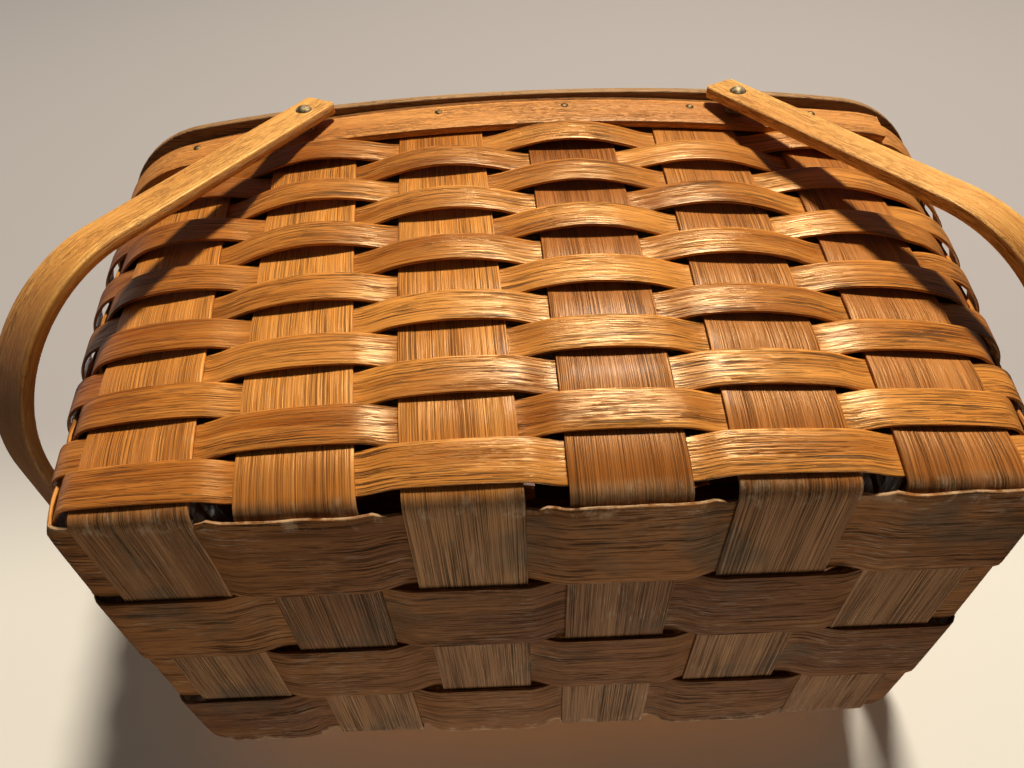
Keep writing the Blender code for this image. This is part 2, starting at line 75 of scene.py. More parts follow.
# %% Sizes
import math
from bisect import bisect_right
from functools import lru_cache

import bmesh
import bpy
from mathutils import Matrix, Vector, noise

CROSS_COUNT = 6
LONG_COUNT = 4
ROW_COUNT = 12
CROSS_WIDTH = 0.0508
LONG_WIDTH = 0.0552
SPLINT_THICK = 0.0016
WEAVER_WIDTH = 0.0190
CROSS_PITCH = 0.0690
LONG_PITCH = 0.0562
ROW_PITCH = 0.0200
WEAVE_GAP = 0.0005
EDGE_MARGIN = 0.0010
WEAVER_ARCH = 0.0030
STAKE_GIVE = 0.0006
WEAVER_DIP = 0.0005

SIDE_SPACE = 0.0020
END_SPACE = 0.0125
SIDE_FLARE = 0.113
END_FLARE = 0.221
CROSS_SPREAD = 0.035
CROSS_LEAN = -0.045
LONG_SPREAD = 0.020
SIDE_BOW = 0.0197
SIDE_BOW_SPAN = 0.2210
END_BOW = 0.0066
END_BOW_SPAN = 0.1100
BOW_START = 0.20
BOW_RISE = 0.040
CORNER_RADIUS = 0.0129
CORNER_GROWTH = 0.229
FOLD_TOP = 0.0080
FOLD_REACH = 0.0068

HOOP_THICK = 0.0044
RIM_HEIGHT = 0.0254
RIM_GAP = 0.0006
HOOP_GAP = 0.0005
STAKE_SHORT = 0.0040
INNER_PROUD = 0.0165
LAP_STEP = 0.0034
LAP_END = 0.30

CROSSING = SPLINT_THICK + WEAVE_GAP
BOTTOM_Z = CROSSING + SPLINT_THICK / 2
FOOT_HALF_WIDTH = (LONG_COUNT - 1) / 2 * LONG_PITCH + LONG_WIDTH / 2 + SIDE_SPACE
FOOT_HALF_LENGTH = (CROSS_COUNT - 1) / 2 * CROSS_PITCH + CROSS_WIDTH / 2 + END_SPACE
RIM_LOW = FOLD_TOP + ROW_COUNT * ROW_PITCH + RIM_GAP
RIM_TOP = RIM_LOW + RIM_HEIGHT
STAKE_TOP = RIM_TOP - STAKE_SHORT
HOOP_INSIDE = SPLINT_THICK / 2 + HOOP_GAP
HOOP_OUTSIDE = HOOP_INSIDE + HOOP_THICK
print("rim from", round(RIM_LOW, 4), "to", round(RIM_TOP, 4))

# %% [markdown]
# ## The shape of the wall
#
# Seen from above, the wall is a rectangle whose long sides and ends are shallow arcs, joined by
# round corners. It is small at the foot and wide at the rim. One function gives that outline at
# any height, and a second one walks along it, so a place on the wall is just a height and a
# distance round the basket, counted anticlockwise from the middle of the front.


# %% Outline and walk
@lru_cache(maxsize=None)
def plan(z):
    share = 1.0 - (1.0 - BOW_START) * math.exp(-z / BOW_RISE)
    side_radius = SIDE_BOW_SPAN ** 2 / (2 * SIDE_BOW * share)
    end_radius = END_BOW_SPAN ** 2 / (2 * END_BOW * share)
    corner = CORNER_RADIUS + CORNER_GROWTH * z
    half_width = FOOT_HALF_WIDTH + SIDE_FLARE * z + SIDE_BOW * share
    half_length = FOOT_HALF_LENGTH + END_FLARE * z + END_BOW * share
    side_centre = Vector((0.0, half_width - side_radius))
    end_centre = Vector((half_length - end_radius, 0.0))
    to_side = side_radius - corner
    to_end = end_radius - corner
    axis = end_centre - side_centre
    span = axis.length
    axis /= span
    along = (to_side ** 2 - to_end ** 2 + span ** 2) / (2 * span)
    aside = math.sqrt(to_side ** 2 - along ** 2)
    corner_centre = side_centre + axis * along + Vector((axis.y, -axis.x)) * aside
    side_turn = math.atan2(corner_centre.x, corner_centre.y - side_centre.y)
    end_turn = math.atan2(corner_centre.y, corner_centre.x - end_centre.x)
    side_length = side_radius * side_turn
    corner_length = corner * (math.pi / 2 - side_turn - end_turn)
    return {
        "side": (side_centre, side_radius), "end": (end_centre, end_radius),
        "corner": (corner_centre, corner), "side_turn": side_turn,
        "side_length": side_length, "corner_length": corner_length,
        "quarter": side_length + corner_length + end_radius * end_turn,
        "half_width": half_width, "half_length": half_length,
    }


def wall_point(z, arc, out=0.0):
    shape = plan(z)
    quarter = shape["quarter"]
    part, run = divmod(arc % (4 * quarter), quarter)
    if part in (1, 3):
        run = quarter - run
    if run < shape["side_length"]:
        centre, radius = shape["side"]
        turn = run / radius
    elif run < shape["side_length"] + shape["corner_length"]:
        centre, radius = shape["corner"]
        turn = shape["side_turn"] + (run - shape["side_length"]) / radius
    else:
        centre, radius = shape["end"]
        turn = math.pi / 2 - (quarter - run) / radius
    x = centre.x + (radius + out) * math.sin(turn)
    y = centre.y + (radius + out) * math.cos(turn)
    return Vector((x if part in (0, 1) else -x, -y if part in (0, 3) else y, z))


print("round the rim:", round(4 * plan(RIM_TOP)["quarter"], 3), "m")

# %% [markdown]
# ## Where the stakes stand
#
# Twenty stake ends stand in the wall: six on each long side and four on each end. They fan out a
# little towards the rim, and those of the long sides lean to the left, as on the real basket.

# %% Upstands
UPSTANDS = []
for side, number in enumerate((CROSS_COUNT, LONG_COUNT, CROSS_COUNT, LONG_COUNT)):
    half = (LONG_WIDTH if side % 2 else CROSS_WIDTH) / 2
    for place in range(number):
        UPSTANDS.append((side, place - (number - 1) / 2, half))


def upstand_arc(index, offset, z):
    side, place, _ = UPSTANDS[index % len(UPSTANDS)]
    pitch = LONG_PITCH + LONG_SPREAD * z if side % 2 else CROSS_PITCH + CROSS_SPREAD * z
    lean = (CROSS_LEAN, 0.0, -CROSS_LEAN, 0.0)[side]
    laps = index // len(UPSTANDS)
    return (side + 4 * laps) * plan(z)["quarter"] + place * pitch + lean * z + offset


print("upstands:", len(UPSTANDS))

# %% [markdown]
# ## Cutting a splint
#
# A real splint is cut flat and bent on the basket, and so is this one. It starts as a cube that
# is scaled to the strip's length, width and thickness. Its long edges are rounded while it is
# straight, where a bevel is exact. Then the strip is subdivided, and its flat place is kept as a
# UV map in metres, so that the grain can run along the splint wherever it bends later. Each strip
# starts at its own place on that map, so no two show the same grain.

# %% Cutting tools
SEED_SHIFT = 1.37


def block(size, middle):
    """A cube scaled to a size and moved to a place."""
    bm = bmesh.new()
    bmesh.ops.create_cube(bm, size=1.0)
    bmesh.ops.scale(bm, vec=size, verts=bm.verts[:])
    bmesh.ops.translate(bm, vec=middle, verts=bm.verts[:])
    return bm


def reach(edge, axis):
    """How far an edge runs along an axis: 0 for X, 1 for Y, 2 for Z."""
    return abs(edge.verts[0].co[axis] - edge.verts[1].co[axis])


def round_off(bm, edges, offset, segments):
    bmesh.ops.bevel(
        bm, geom=edges, offset=offset, segments=segments, profile=0.5, affect="EDGES", material=-1)


def cut_columns(bm, width, columns):
    """Cut a strip lengthwise into equal columns."""
    for column in range(1, columns):
        geom = bm.verts[:] + bm.edges[:] + bm.faces[:]
        cut_at = (0, width * (column / columns - 0.5), 0)
        bmesh.ops.bisect_plane(bm, geom=geom, plane_co=cut_at, plane_no=(0, 1, 0))


def cut_rows(bm, length, cuts):
    """Cut a strip across, so that it can bend."""
    along = [e for e in bm.edges if reach(e, 0) > length / 2]
    bmesh.ops.subdivide_edges(bm, edges=along, cuts=cuts, use_grid_fill=True)


def map_grain(bm, seed, crosswise=False):
    """A UV map in metres, with the grain along X or, crosswise, along Y."""
    strip_map = bm.loops.layers.uv.new("splint")
    for face in bm.faces:
        for loop in face.loops:
            x, y, z = loop.vert.co
            u, v = (y, x) if crosswise else (x, y)
            loop[strip_map].uv = (u + SEED_SHIFT * seed, v + z)


print("each strip starts", SEED_SHIFT, "m further along the grain")


# %% Splint blank
SPLINT_ROUND = 0.0004
STRIP_COLUMNS = 4
NORMAL_STEP = 0.0004
SHARP_ANGLE = math.radians(40)


def splint_blank(length, width, thick, step, columns, edge, seed, open_ends=False):
    """A flat strip: x along it from 0, y across it, z through it."""
    bm = block((length, width, thick), (length / 2, 0, 0))
    round_off(bm, [e for e in bm.edges if reach(e, 0) > length / 2], edge, segments=2)
    cut_columns(bm, width, columns)
    if open_ends:
        ends = [f for f in bm.faces if abs(f.normal.x) > 0.5]
        bmesh.ops.delete(bm, geom=ends, context="FACES_ONLY")
    cut_rows(bm, length, round(length / step))
    map_grain(bm, seed)
    return bm


def bend(bm, place):
    """Move the strip onto the surface place(u, v); its thickness follows the surface's normal."""
    spots = {}
    for vert in bm.verts:
        key = (round(vert.co.x, 6), round(vert.co.y, 6))
        if key not in spots:
            u, v = key
            middle = place(u, v)
            ahead = place(u + NORMAL_STEP, v) - place(u - NORMAL_STEP, v)
            across = place(u, v + NORMAL_STEP) - place(u, v - NORMAL_STEP)
            spots[key] = (middle, ahead.cross(across).normalized())
        middle, normal = spots[key]
        vert.co = middle + normal * vert.co.z


def finish_piece(name, bm, material, node, body="basket"):
    """Make the object, smooth its round edges, and let it stand for its solid."""
    bmesh.ops.recalc_face_normals(bm, faces=bm.faces[:])
    mesh = bpy.data.meshes.new(name)
    bm.to_mesh(mesh)
    bm.free()
    mesh.shade_smooth()
    mesh.set_sharp_from_angle(angle=SHARP_ANGLE)
    piece = bpy.data.objects.new(name, mesh)
    bpy.context.scene.collection.objects.link(piece)
    mesh.materials.append(material)
    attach(piece, body)
    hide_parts(node)
    return piece


def shaky(amount, *spot):
    """A smooth, repeatable unevenness at a spot, up to about the amount."""
    return amount * noise.noise(Vector(spot))


def clamp(value, low=0.0, high=1.0):
    return min(max(value, low), high)


print("a splint's long edges are rounded by", SPLINT_ROUND, "m")

# %% [markdown]
# ## Writing a wood in nodes
#
# Every wood here is one recipe: long pale and dark bands, fine streaks along the strip, and short
# dark pores, all read from the splint's own UV map in metres. A small class wraps a socket, so
# that the recipe can be written as sums.


# %% Node sums
class Value:
    """A socket that Python can do sums with."""

    def __init__(self, recipe, socket):
        self.recipe = recipe
        self.socket = socket

    def sum(self, operation, other, swap=False):
        pair = (other, self) if swap else (self, other)
        return self.recipe.add("ShaderNodeMath", {"operation": operation}, {0: pair[0], 1: pair[1]})

    def __add__(self, other):
        return self.sum("ADD", other)

    __radd__ = __add__

    def __sub__(self, other):
        return self.sum("SUBTRACT", other)

    def __rsub__(self, other):
        return self.sum("SUBTRACT", other, swap=True)

    def __mul__(self, other):
        return self.sum("MULTIPLY", other)

    __rmul__ = __mul__

    def over(self, low, high):
        """0 at low, 1 at high, smooth between."""
        return self.recipe.add(
            "ShaderNodeMapRange", {"interpolation_type": "SMOOTHSTEP"},
            {"Value": self, "From Min": low, "From Max": high}, "Result")

    def size(self):
        return self.recipe.add("ShaderNodeMath", {"operation": "ABSOLUTE"}, {0: self})


class Recipe:
    """One material and its node tree."""

    def __init__(self, name, **fixed):
        self.material = bpy.data.materials.new(name)
        self.material.use_nodes = True
        self.tree = self.material.node_tree
        self.shader = self.tree.nodes["Principled BSDF"]
        for socket, value in fixed.items():
            self.shader.inputs[socket.replace("_", " ")].default_value = value

    def add(self, kind, settings, inputs, output=0):
        node = self.tree.nodes.new(kind)
        for key, value in settings.items():
            setattr(node, key, value)
        for key, value in inputs.items():
            self.join(node.inputs[key], value)
        return Value(self, node.outputs[output])

    def join(self, socket, value):
        if isinstance(value, Value):
            self.tree.links.new(value.socket, socket)
        elif hasattr(value, "__len__") and len(value) == 3 and socket.type == "RGBA":
            socket.default_value = (*value, 1.0)
        else:
            socket.default_value = value

    def spread(self, base, scale, detail=3.0, rough=0.55, shift=(0, 0, 0)):
        """Noise whose size is given along, across and through, in cycles per metre."""
        spot = self.add(
            "ShaderNodeMapping", {"vector_type": "POINT"},
            {"Vector": base, "Scale": scale, "Location": shift})
        return self.add(
            "ShaderNodeTexNoise", {"noise_dimensions": "3D"},
            {"Vector": spot, "Scale": 1.0, "Detail": detail, "Roughness": rough})

    def part(self, vector, axis):
        """A vector's X, Y or Z."""
        return self.add("ShaderNodeSeparateXYZ", {}, {0: vector}, axis)

    def blend(self, share, low, high):
        """A colour between two others."""
        return self.add(
            "ShaderNodeMix", {"data_type": "RGBA"}, {0: share, 6: low, 7: high}, 2)

    def bump(self, height, strength, distance):
        return self.add(
            "ShaderNodeBump", {}, {"Strength": strength, "Distance": distance, "Height": height})

    def paint(self, **surface):
        for socket, value in surface.items():
            self.join(self.shader.inputs[socket.replace("_", " ")], value)
        return self.material


print("sums:", [name for name in vars(Value) if name.startswith("__") and "init" not in name])

# %% [markdown]
# ## Oak
#
# Oak splints show three things. Broad bands, paler and darker, follow the growth rings. Fine
# streaks run the whole length. Open pores are thin dark dashes, and they give oak its look, so
# they are the strongest. They crowd together in some places and thin out in others. The stakes
# were cut so that the pores make close, straight lines. No two splints are quite one colour: the
# three cross stakes on the left are paler and the fourth is redder. Some colour is painted shade:
# the cross stakes are painted darker at the foot of the wall, the weavers towards the left, and
# the handles at their low ends. The weavers are glossier. The handles are palest. The varnish is
# amber, so its shine has a golden tint. Under the basket it has worn off: the wood is dull, brown
# and stained there, and scuffed pale at the fold, where a pale line along the splints' edges is
# part fraying and part painted highlight. The worn part is found by height, which is the
# object's own Z.


# %% Bare wood
BARE_UP_TO = (0.0085, 0.0150)
BARE_WANDER = 0.010
SCUFFED_UP_TO = (0.006, 0.010)
SCUFFED_FROM = (0.106, 0.111)
FRAY_AND_HIGHLIGHT_FROM = (0.109, 0.112)
FRAY_AND_HIGHLIGHT_WIDTH = 0.0010
PAST_EDGE = 0.0001
DUST = (0.42, 0.30, 0.19)
STAIN = (0.062, 0.047, 0.028)
SCUFF = (0.56, 0.38, 0.22)
# A pale edge colour at the fold: part fraying, part painted highlight.
FRAY_AND_HIGHLIGHT = (0.56, 0.36, 0.19)


def bare_wood(recipe, place, grain, tone, line, rim, half_width, worn):
    """How bare each spot is; bare wood with dust, stains, scuffs, fraying and painted highlight."""
    dark, mid, light = worn
    height = recipe.part(place, "Z")
    depth = recipe.part(place, "Y").size()
    blotch = recipe.spread(place, (30, 30, 30), detail=4.0, rough=0.6, shift=(5, 2, 8))
    bare = 1 - (height + blotch * BARE_WANDER).over(*BARE_UP_TO)
    colour = recipe.blend(line, recipe.blend(tone, mid, light), dark)
    dust = recipe.spread(grain, (70, 900, 1), detail=3.0, rough=0.7, shift=(6, 6, 0))
    rubbed = recipe.spread(place, (22, 22, 22), detail=2.0, shift=(4, 1, 7)).over(0.42, 0.62)
    colour = recipe.blend(dust.over(0.52, 0.66) * rubbed * 0.5, colour, DUST)
    stain = recipe.spread(place, (15, 15, 15), detail=3.0, rough=0.6, shift=(0.3, 0.9, 0))
    colour = recipe.blend(stain.over(0.53, 0.68) * 0.5, colour, STAIN)
    scuff = recipe.spread(place, (90, 60, 60), detail=4.0, rough=0.7, shift=(2, 4, 6))
    fold = depth.over(*SCUFFED_FROM) * (1 - height.over(*SCUFFED_UP_TO))
    colour = recipe.blend(scuff.over(0.50, 0.66) * fold * 0.45, colour, SCUFF)
    # The fold's pale edge line: part fraying, part painted highlight.
    fray_and_highlight = rim.over(half_width - FRAY_AND_HIGHLIGHT_WIDTH, half_width + PAST_EDGE) * depth.over(*FRAY_AND_HIGHLIGHT_FROM)
    colour = recipe.blend(fray_and_highlight * scuff.over(0.38, 0.56) * 0.6, colour, FRAY_AND_HIGHLIGHT)
    return bare, colour


print("bare up to", BARE_UP_TO[0], "m, varnished from", BARE_UP_TO[1], "m")


# %% Oak recipe
SHINE_TINT = (1.0, 0.74, 0.37, 1.0)
COAT = 0.03
COAT_ROUGHNESS = 0.25
EDGE_WIDTH = 0.0008
EDGE_BRIGHT = 1.3
RELIEF_DEPTH = 0.0006


def oak(
        name, dark, mid, light, dashes, cut, gloss, half_width, drift=0.0015, ink=0.8, worn=None,
        painted_shade=None, shine=0.85):
    """An oak finish; its colours are linear, and its lengths are in metres.

    dashes: pores per metre along and across the strip; cut: how few there are; ink: how dark.
    drift: how far the grain wanders sideways. worn: the bare wood's dark, middle and light.
    deep: painted shade, a darker colour along an axis: the axis, full up to here, none from here,
    share, colour.
    """
    recipe = Recipe(
        name, Coat_Roughness=COAT_ROUGHNESS, Specular_IOR_Level=shine, Specular_Tint=SHINE_TINT)
    strip = recipe.add("ShaderNodeUVMap", {"uv_map": "splint"}, {}, "UV")
    place = recipe.add("ShaderNodeTexCoord", {}, {}, "Object")
    along, across = dashes
    v = recipe.part(strip, "Y")
    sway = recipe.spread(strip, (14, 45, 1), detail=2.0, shift=(2, 6, 0))
    grain = recipe.add(
        "ShaderNodeCombineXYZ", {},
        {"X": recipe.part(strip, "X"), "Y": v + (sway - 0.5) * drift, "Z": 0.0})
    splint = recipe.spread(strip, (5, 0, 1), detail=1.0, shift=(4, 4, 0))
    bands = recipe.spread(grain, (3.5, 90, 1), detail=3.0, rough=0.6)
    streaks = recipe.spread(grain, (9, 0.65 * across, 1), detail=4.0, rough=0.65, shift=(3, 1, 0))
    tone = (bands * 0.4 + streaks * 0.35 + splint * 0.5).over(0.48, 0.78)
    pores = recipe.spread(grain, (along, across, 1), detail=3.0, rough=0.6, shift=(1, 9, 0))
    ticks = recipe.spread(grain, (along * 2.6, across * 1.7, 1), detail=2.0, shift=(7, 5, 0))
    dash = pores.over(cut, cut + 0.08)
    tick = ticks.over(cut + 0.01, cut + 0.09)
    crowd = recipe.spread(grain, (11, 75, 1), detail=2.0, shift=(8, 2, 0)).over(0.40, 0.60)
    line = (dash + (1 - dash) * tick * 0.6) * (crowd * 0.6 + 0.4) * ink
    rim = v.size()
    edge = rim.over(half_width - EDGE_WIDTH, half_width + PAST_EDGE) * streaks.over(0.36, 0.60)
    bright = tuple(min(1.0, part * EDGE_BRIGHT) for part in light)
    colour = recipe.blend(edge * 0.5, recipe.blend(tone, mid, light), bright)
    colour = recipe.blend(line, colour, dark)
    rough = gloss + line * 0.25 + streaks * 0.16
    coat = COAT
    # Painted shade: the colour is darkened along one axis.
    if painted_shade:
        axis, low, high, share, shade = painted_shade
        shaded = 1 - recipe.part(place, axis).over(low, high)
        colour = recipe.blend(shaded * share, colour, shade)
    if worn:
        bare, grey = bare_wood(recipe, place, grain, tone, line, rim, half_width, worn)
        colour = recipe.blend(bare, colour, grey)
        rough = rough + bare * 0.30
        coat = (1 - bare) * COAT
    normal = recipe.bump(streaks * 0.6 - line * 0.8, 1.0, RELIEF_DEPTH)
    return recipe.paint(Base_Color=colour, Roughness=rough, Coat_Weight=coat, Normal=normal)


print("coat weight:", COAT)


# %% Oaks of the splints
# The cross stakes are painted darker just above the fold: painted shade at the foot of the wall.
def cross_oak(name, shade):
    """The cross stakes' oak; its varnished colours are times a shade, because splints differ."""
    dark, mid, light = (
        tuple(part * share for part, share in zip(colour, shade))
        for colour in ((0.105, 0.028, 0.004), (0.33, 0.095, 0.010), (0.57, 0.215, 0.038)))
    return oak(
        name, dark, mid, light, dashes=(6, 1650), cut=0.53, gloss=0.30,
        half_width=CROSS_WIDTH / 2, drift=0.0008, ink=0.85, shine=0.55,
        worn=((0.035, 0.010, 0.002), (0.185, 0.060, 0.014), (0.43, 0.195, 0.068)),
        painted_shade=("Z", 0.016, 0.032, 0.35, (0.21, 0.060, 0.008)))


STAKE_OAK = cross_oak("stake_oak", (1.05, 1.0, 1.0))
PALE_STAKE_OAK = cross_oak("pale_stake_oak", (1.33, 1.38, 1.38))
RED_STAKE_OAK = cross_oak("red_stake_oak", (0.80, 0.68, 0.60))
CROSS_OAKS = (PALE_STAKE_OAK,) * 3 + (RED_STAKE_OAK,) + (STAKE_OAK,) * 2
LONG_STAKE_OAK = oak(
    "long_stake_oak", dark=(0.110, 0.030, 0.005), mid=(0.35, 0.120, 0.018),
    light=(0.56, 0.23, 0.046), dashes=(26, 560), cut=0.53, gloss=0.34,
    half_width=LONG_WIDTH / 2, drift=0.003, ink=0.85,
    worn=((0.014, 0.004, 0.0006), (0.125, 0.034, 0.005), (0.295, 0.108, 0.024)), shine=0.30)
# The weavers are painted darker towards the left: painted shade.
WEAVER_OAK = oak(
    "weaver_oak", dark=(0.075, 0.016, 0.001), mid=(0.305, 0.074, 0.005), light=(0.76, 0.300, 0.054),
    dashes=(20, 1150), cut=0.54, gloss=0.21, half_width=WEAVER_WIDTH / 2, drift=0.003, ink=1.0,
    painted_shade=("X", -0.25, -0.09, 0.55, (0.200, 0.036, 0.0005)))
print("splints:", STAKE_OAK.name, PALE_STAKE_OAK.name, RED_STAKE_OAK.name, WEAVER_OAK.name)

# %% Oaks of the rim, handles and lid
HANDLE_WIDTH = 0.0220
LID_HALF_WIDTH = 0.4

RIM_OAK = oak(
    "rim_oak", dark=(0.190, 0.050, 0.008), mid=(0.46, 0.145, 0.020), light=(0.73, 0.295, 0.064),
    dashes=(85, 1000), cut=0.52, gloss=0.40, half_width=RIM_HEIGHT / 2, ink=0.75)
# The inner hoop's oak is painted dark: painted shade under the lid's overhanging edge.
PAINTED_SHADE_INNER_RIM_OAK = oak(
    "inner_rim_painted_shade_oak", dark=(0.055, 0.015, 0.003), mid=(0.145, 0.043, 0.008),
    light=(0.25, 0.093, 0.021), dashes=(85, 1000), cut=0.52, gloss=0.50,
    half_width=RIM_HEIGHT / 2, ink=0.75, shine=0.3)
# The handles are painted darker towards their low ends: painted shade.
HANDLE_OAK = oak(
    "handle_oak", dark=(0.30, 0.088, 0.012), mid=(0.61, 0.235, 0.036), light=(0.86, 0.43, 0.105),
    dashes=(75, 1200), cut=0.52, gloss=0.40, half_width=HANDLE_WIDTH / 2, drift=0.0010, ink=0.75,
    painted_shade=("Z", 0.065, 0.128, 0.80, (0.170, 0.040, 0.004)))
LID_OAK = oak(
    "lid_oak", dark=(0.11, 0.040, 0.011), mid=(0.30, 0.145, 0.055), light=(0.44, 0.245, 0.105),
    dashes=(45, 850), cut=0.54, gloss=0.50, half_width=LID_HALF_WIDTH, shine=0.4)
print("oaks:", [m.name for m in bpy.data.materials if m.name.endswith("_oak")])

# %% [markdown]
# ## Stakes
#
# One splint runs down the wall, turns under the basket in a tight round fold, crosses the bottom
# and comes up the other wall. The path is five simple stretches one after the other: wall, fold,
# bottom, fold, wall. The fold is a Bezier curve from the foot of the wall to the flat of the
# bottom.

# %% Stake path
EDGE_REACH = 0.0042
EDGE_RAGGED = 0.0012
WALL_RUN = STAKE_TOP - FOLD_TOP
FOLD_RUN = 0.0145
WIDTH_SHAKE = 0.012
SIDE_SHAKE = 0.0004
FACE_SHAKE = 0.0003


def foot(index, offset, floor_z, inward):
    """Start, corner and end of the fold's curve."""
    top = wall_point(FOLD_TOP, upstand_arc(index, offset, FOLD_TOP))
    above = wall_point(FOLD_TOP + ROW_PITCH, upstand_arc(index, offset, FOLD_TOP + ROW_PITCH))
    slope = (top - above) / (above.z - top.z)
    knee = top + slope * (top.z - floor_z)
    knee.z = floor_z
    return top, knee, knee + inward * FOLD_REACH


def give(index, z):
    """A stake is pushed in by a weaver in front of it and out by one behind it."""
    row = (z - FOLD_TOP) / ROW_PITCH
    if row < 0 or row > ROW_COUNT:
        return 0.0
    lane = math.floor(row)
    way = -1 if (index % len(UPSTANDS) + lane) % 2 == 0 else 1
    return way * STAKE_GIVE * math.sin(math.pi * (row - lane))


def reach_out(x, side, passing):
    """How far an outer long stake's edge comes forward where it lies under a cross stake."""
    return side * passing * (EDGE_REACH + shaky(EDGE_RAGGED, x * 55, side, 2.0))


def stake_path(first, second, floor_height, inward, seed, side=0):
    """The splint's surface as a function of the distance along it and across it."""
    ends = (floor_height(0.0, 0.0), floor_height(1.0, 0.0))
    near = foot(first, 0.0, ends[0], inward)
    far = foot(second, 0.0, ends[1], -inward)
    floor_run = (far[2] - near[2]).length
    total = 2 * (WALL_RUN + FOLD_RUN) + floor_run

    def place(u, v):
        v = v * (1 + shaky(WIDTH_SHAKE, u * 9, seed, 4.0)) + shaky(SIDE_SHAKE, u * 5, seed, 9.0)
        from_far = u > total / 2
        run = total - u if from_far else u
        index = second if from_far else first
        offset = -v if from_far else v
        way = -inward if from_far else inward
        if run < WALL_RUN:
            z = STAKE_TOP - run
            out = give(index, z) + shaky(FACE_SHAKE, u * 22, v * 30, seed)
            return wall_point(z, upstand_arc(index, offset, z), out)
        a, b, c = foot(index, offset, ends[1] if from_far else ends[0], way)
        if run < WALL_RUN + FOLD_RUN:
            share = (run - WALL_RUN) / FOLD_RUN
            return a.lerp(b, share).lerp(b.lerp(c, share), share)
        start = foot(first, v, ends[0], inward)[2]
        end = foot(second, -v, ends[1], -inward)[2]
        share = (u - WALL_RUN - FOLD_RUN) / floor_run
        point = start.lerp(end, share)
        point.z = floor_height(share, v)
        if v * side > 0:
            passing = clamp((BOTTOM_Z - point.z) / CROSSING * 1.5 + 0.75)
            point.y += reach_out(point.x, side, passing) * (2 * v / LONG_WIDTH) ** 2
        return point

    return total, place


print("a stake on the wall:", round(WALL_RUN, 4), "m")


# %% Cross stakes
STAKE_STEP = 0.0035
STAKE_COLUMNS = 8


def add_stake(name, node, width, first, second, floor_height, inward, seed, material, side=0):
    total, place = stake_path(first, second, floor_height, inward, seed, side)
    bm = splint_blank(total, width, SPLINT_THICK, STAKE_STEP, STAKE_COLUMNS, SPLINT_ROUND, seed)
    bend(bm, place)
    piece = finish_piece(name, bm, material, node)


def flat_floor(share, v):
    return BOTTOM_Z


for number in range(CROSS_COUNT):
    back = 2 * CROSS_COUNT + LONG_COUNT - 1 - number
    add_stake(
        f"oak_cross_stake_{number + 1}", f"cross_stake_{number + 1}", CROSS_WIDTH, number, back,
        flat_floor, Vector((0, 1, 0)), number, CROSS_OAKS[number])
print("cross stakes:", CROSS_COUNT)


# %% Long stakes
FLOOR_SHORT = 0.030
LONG_SEED = 10


def woven_floor(row):
    """A long stake goes under one cross stake and over the next, with a soft turn between."""
    run = 2 * FOOT_HALF_LENGTH

    def height(share, v):
        column = (0.5 - share) * (run - FLOOR_SHORT) / CROSS_PITCH + (CROSS_COUNT - 1) / 2
        column = clamp(column, 0.0, CROSS_COUNT - 1.0)
        low = math.floor(column)
        near = 0.5 - CROSS_WIDTH / 2 / CROSS_PITCH + EDGE_MARGIN / CROSS_PITCH
        part = clamp((column - low - 0.5) / (2 * near) + 0.5)
        ease = part * part * (3 - 2 * part)
        here, ahead = (
            1 if (row + place) % 2 == 0 else -1 for place in (low, min(low + 1, CROSS_COUNT - 1)))
        return BOTTOM_Z + CROSSING * (here + (ahead - here) * ease)

    return height


for row in range(LONG_COUNT):
    add_stake(
        f"oak_long_stake_{row + 1}", f"long_stake_{row + 1}", LONG_WIDTH, CROSS_COUNT + row,
        len(UPSTANDS) - 1 - row, woven_floor(row), Vector((-1, 0, 0)), LONG_SEED + row,
        LONG_STAKE_OAK, side={0: -1, LONG_COUNT - 1: 1}.get(row, 0))
print("long stakes:", LONG_COUNT)

# %% [markdown]
# ## Weavers
#
# A weaver bulges out over a stake and dips behind the next. Its distance from the wall is a
# smooth curve through five points at each stake: both edges, where it must clear the stake, a
# shoulder inside each edge, and the crest between. A monotone curve doesn't overshoot, so the
# splints never cut each other. The crests grow from the bottom up, and differ a little in height,
# place and tilt, because the splints were bent by hand.


# %% Smooth curve
def curve_through(spots, heights):
    """A smooth curve through points that never overshoots them."""
    steps = [
        (heights[i + 1] - heights[i]) / (spots[i + 1] - spots[i]) for i in range(len(spots) - 1)]
    slopes = [0.0]
    for before, after in zip(steps, steps[1:]):
        slopes.append(2 * before * after / (before + after) if before * after > 0 else 0.0)
    slopes.append(0.0)

    def value(at):
        i = clamp(bisect_right(spots, at) - 1, 0, len(steps) - 1)
        gap = spots[i + 1] - spots[i]
        t = (at - spots[i]) / gap
        return (
            heights[i] * (1 + 2 * t) * (1 - t) ** 2 + slopes[i] * gap * t * (1 - t) ** 2
            + heights[i + 1] * t * t * (3 - 2 * t) + slopes[i + 1] * gap * t * t * (t - 1))

    return value


print("half way from 0 to 1:", curve_through([0, 1], [0, 1])(0.5))


# %% Weavers
FIRST_RISE = 0.30
RISE_GROWTH = 0.19
GROWING_ROWS = 7
VERGE = 0.36
SHOULDER = 0.84
SHOULDER_PLACE = 0.5
RISE_SHAKE = 0.7
CREST_SHAKE = 0.4
TILT_SHAKE = 0.13
WEAVER_WIDTH_SHAKE = 0.02
WEAVER_STEP = 0.0032
WEAVER_SEED = 20
WELD = 0.00005


